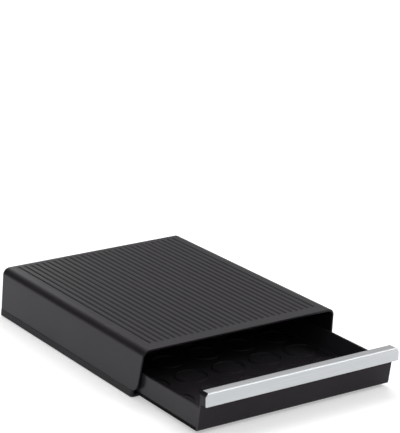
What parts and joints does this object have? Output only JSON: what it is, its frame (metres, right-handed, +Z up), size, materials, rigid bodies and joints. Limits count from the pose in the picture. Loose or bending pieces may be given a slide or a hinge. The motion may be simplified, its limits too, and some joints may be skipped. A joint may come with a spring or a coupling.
{
  "type": "coffee pod drawer",
  "caption": "Low black plastic housing with a grooved deck for a coffee machine and a sliding tray drawer with a silver handle strip.",
  "frame": {"origin": "middle of the overall footprint on the table, with the drawer open 120 mm as in the rest pose", "axes": "+X to the right as seen from the front, -Y the way the drawer opens, +Z up from the table"},
  "size_m": [0.2752, 0.474, 0.0632],
  "materials": {
    "housing_black": "fine moulded grain, satin",
    "base_black": "fine moulded grain, matt",
    "drawer_black": "fine moulded grain, satin",
    "glide_black": "smooth low-friction plastic",
    "cap_black": "smooth, slightly glossy",
    "handle_silver": "satin anodised, brushed along its length",
    "foot_rubber": "matt",
    "screw_steel": "zinc plated"
  },
  "bodies": {
    "housing": {"housing_cover": "housing_black", "base_plate": "base_black", "rubber_foot_front_left": "foot_rubber", "rubber_foot_front_right": "foot_rubber", "rubber_foot_rear_left": "foot_rubber", "rubber_foot_rear_right": "foot_rubber", "base_screws": "screw_steel"},
    "drawer": {"drawer_tray": "drawer_black", "glide_strip_left": "glide_black", "glide_strip_right": "glide_black", "handle_strip": "handle_silver", "handle_cap_left": "cap_black", "handle_cap_right": "cap_black"}
  },
  "joints": [
    {"name": "drawer_slide", "type": "slide", "parent": "housing", "child": "drawer", "axis": [0, -1, 0], "range_m": [-0.12, 0.11]}
  ]
}
